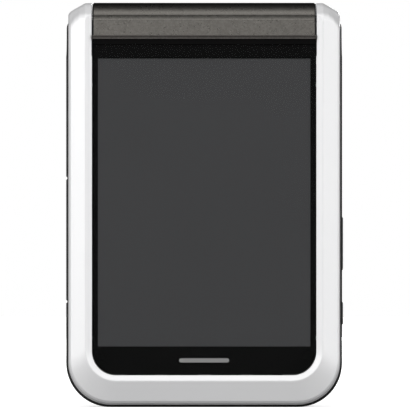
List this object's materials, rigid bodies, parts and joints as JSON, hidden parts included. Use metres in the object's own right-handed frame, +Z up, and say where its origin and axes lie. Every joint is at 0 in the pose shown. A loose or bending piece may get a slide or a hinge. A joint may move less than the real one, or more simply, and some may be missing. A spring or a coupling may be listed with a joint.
{
  "type": "clamshell pocket organiser",
  "caption": "Clamshell pocket organiser with a large portrait display in a white faceted lid, a full-width metal-coloured hinge barrel and a black base with side keys.",
  "frame": {"origin": "middle of the bottom edge that the object stands on, midway through its thickness", "axes": "+X to the right as the display is read, +Y from the display towards the back, +Z up towards the hinge"},
  "size_m": [0.0723, 0.0196, 0.1054],
  "materials": {
    "white_casing": "pearl gloss",
    "black_casing": "fine matte",
    "gunmetal": "warm metallic paint",
    "window_glass": "polished",
    "black_film": "gloss ink",
    "display_panel": "satin, switched off",
    "die_cast": "as cast",
    "steel": "ground",
    "nickel": "nickel plate",
    "natural_plastic": "natural",
    "key_plastic": "satin",
    "dome_sheet": "satin",
    "circuit_board": "solder mask",
    "battery_wrap": "satin film",
    "contact_metal": "gold plate",
    "rubber": "matte"
  },
  "bodies": {
    "base": {"base_front_shell": "black_casing", "base_rear_shell": "black_casing", "hinge_barrel_cover": "gunmetal", "hinge_washers": "black_casing", "hinge_core": "die_cast", "hinge_cartridge": "steel", "hinge_pin": "steel", "key_domes": "dome_sheet", "main_board": "circuit_board", "board_shield": "nickel", "card_socket": "nickel", "plug_socket": "nickel", "side_switches": "black_casing", "battery_pack": "battery_wrap", "battery_contacts": "contact_metal", "loudspeaker": "die_cast", "microphone": "nickel", "hinge_flex": "circuit_board", "base_screws": "steel"},
    "lid": {"lid_frame": "white_casing", "lid_top_trim": "gunmetal", "display_window": "window_glass", "window_mask": "black_film", "outer_display": "display_panel", "display_backlight": "natural_plastic", "lid_chassis": "die_cast", "inner_display": "display_panel", "lid_inner_cover": "black_casing", "inner_window": "window_glass", "lid_screws": "steel", "lid_bumpers": "rubber", "lid_board": "circuit_board", "lid_magnet": "nickel", "hinge_bush": "natural_plastic", "hinge_drive_pin": "steel"},
    "battery_cover": {"battery_cover": "black_casing"},
    "navigation_ring": {"navigation_ring": "key_plastic"},
    "select_key": {"select_key": "key_plastic"},
    "side_door": {"side_door": "black_casing"},
    "volume_key": {"volume_key": "key_plastic"},
    "capture_key": {"capture_key": "key_plastic"},
    "number_key_01": {"number_key_01": "key_plastic"},
    "number_key_02": {"number_key_02": "key_plastic"},
    "number_key_03": {"number_key_03": "key_plastic"},
    "number_key_04": {"number_key_04": "key_plastic"},
    "number_key_05": {"number_key_05": "key_plastic"},
    "number_key_06": {"number_key_06": "key_plastic"},
    "number_key_07": {"number_key_07": "key_plastic"},
    "number_key_08": {"number_key_08": "key_plastic"},
    "number_key_09": {"number_key_09": "key_plastic"},
    "number_key_10": {"number_key_10": "key_plastic"},
    "number_key_11": {"number_key_11": "key_plastic"},
    "number_key_12": {"number_key_12": "key_plastic"},
    "function_key_upper_left": {"function_key_upper_left": "key_plastic"},
    "function_key_upper_right": {"function_key_upper_right": "key_plastic"},
    "function_key_lower_left": {"function_key_lower_left": "key_plastic"},
    "function_key_lower_right": {"function_key_lower_right": "key_plastic"}
  },
  "joints": [
    {"name": "lid_hinge", "type": "hinge", "parent": "base", "child": "lid", "pos_m": [0, -0.00275, 0.099], "axis": [-1, 0, 0], "range_deg": [0, 165]},
    {"name": "battery_cover_tilt", "type": "hinge", "parent": "base", "child": "battery_cover", "pos_m": [0, 0.0094, 0.00955], "axis": [-1, 0, 0], "range_deg": [0, 60]},
    {"name": "side_door_swing", "type": "hinge", "parent": "base", "child": "side_door", "pos_m": [-0.0354, 0.0031, 0.0436], "axis": [0, 0, -1], "range_deg": [0, 100]},
    {"name": "volume_key_rock", "type": "hinge", "parent": "base", "child": "volume_key", "pos_m": [0.03375, 0.0014, 0.0426], "axis": [0, 1, 0], "range_deg": [-2.5, 2.5], "stiffness_Nm_per_rad": 0.06},
    {"name": "capture_key_press", "type": "slide", "parent": "base", "child": "capture_key", "axis": [-1, 0, 0], "range_m": [0, 0.0003], "stiffness_N_per_m": 1500, "springref_m": -0.0004},
    {"name": "navigation_ring_press", "type": "slide", "parent": "base", "child": "navigation_ring", "axis": [0, 1, 0], "range_m": [0, 0.0003], "stiffness_N_per_m": 1500, "springref_m": -0.0004},
    {"name": "select_key_press", "type": "slide", "parent": "base", "child": "select_key", "axis": [0, 1, 0], "range_m": [0, 0.0003], "stiffness_N_per_m": 1500, "springref_m": -0.0004},
    {"name": "number_key_01_press", "type": "slide", "parent": "base", "child": "number_key_01", "axis": [0, 1, 0], "range_m": [0, 0.0003], "stiffness_N_per_m": 1500, "springref_m": -0.0004},
    {"name": "number_key_02_press", "type": "slide", "parent": "base", "child": "number_key_02", "axis": [0, 1, 0], "range_m": [0, 0.0003], "stiffness_N_per_m": 1500, "springref_m": -0.0004},
    {"name": "number_key_03_press", "type": "slide", "parent": "base", "child": "number_key_03", "axis": [0, 1, 0], "range_m": [0, 0.0003], "stiffness_N_per_m": 1500, "springref_m": -0.0004},
    {"name": "number_key_04_press", "type": "slide", "parent": "base", "child": "number_key_04", "axis": [0, 1, 0], "range_m": [0, 0.0003], "stiffness_N_per_m": 1500, "springref_m": -0.0004},
    {"name": "number_key_05_press", "type": "slide", "parent": "base", "child": "number_key_05", "axis": [0, 1, 0], "range_m": [0, 0.0003], "stiffness_N_per_m": 1500, "springref_m": -0.0004},
    {"name": "number_key_06_press", "type": "slide", "parent": "base", "child": "number_key_06", "axis": [0, 1, 0], "range_m": [0, 0.0003], "stiffness_N_per_m": 1500, "springref_m": -0.0004},
    {"name": "number_key_07_press", "type": "slide", "parent": "base", "child": "number_key_07", "axis": [0, 1, 0], "range_m": [0, 0.0003], "stiffness_N_per_m": 1500, "springref_m": -0.0004},
    {"name": "number_key_08_press", "type": "slide", "parent": "base", "child": "number_key_08", "axis": [0, 1, 0], "range_m": [0, 0.0003], "stiffness_N_per_m": 1500, "springref_m": -0.0004},
    {"name": "number_key_09_press", "type": "slide", "parent": "base", "child": "number_key_09", "axis": [0, 1, 0], "range_m": [0, 0.0003], "stiffness_N_per_m": 1500, "springref_m": -0.0004},
    {"name": "number_key_10_press", "type": "slide", "parent": "base", "child": "number_key_10", "axis": [0, 1, 0], "range_m": [0, 0.0003], "stiffness_N_per_m": 1500, "springref_m": -0.0004},
    {"name": "number_key_11_press", "type": "slide", "parent": "base", "child": "number_key_11", "axis": [0, 1, 0], "range_m": [0, 0.0003], "stiffness_N_per_m": 1500, "springref_m": -0.0004},
    {"name": "number_key_12_press", "type": "slide", "parent": "base", "child": "number_key_12", "axis": [0, 1, 0], "range_m": [0, 0.0003], "stiffness_N_per_m": 1500, "springref_m": -0.0004},
    {"name": "function_key_upper_left_press", "type": "slide", "parent": "base", "child": "function_key_upper_left", "axis": [0, 1, 0], "range_m": [0, 0.0003], "stiffness_N_per_m": 1500, "springref_m": -0.0004},
    {"name": "function_key_upper_right_press", "type": "slide", "parent": "base", "child": "function_key_upper_right", "axis": [0, 1, 0], "range_m": [0, 0.0003], "stiffness_N_per_m": 1500, "springref_m": -0.0004},
    {"name": "function_key_lower_left_press", "type": "slide", "parent": "base", "child": "function_key_lower_left", "axis": [0, 1, 0], "range_m": [0, 0.0003], "stiffness_N_per_m": 1500, "springref_m": -0.0004},
    {"name": "function_key_lower_right_press", "type": "slide", "parent": "base", "child": "function_key_lower_right", "axis": [0, 1, 0], "range_m": [0, 0.0003], "stiffness_N_per_m": 1500, "springref_m": -0.0004}
  ]
}
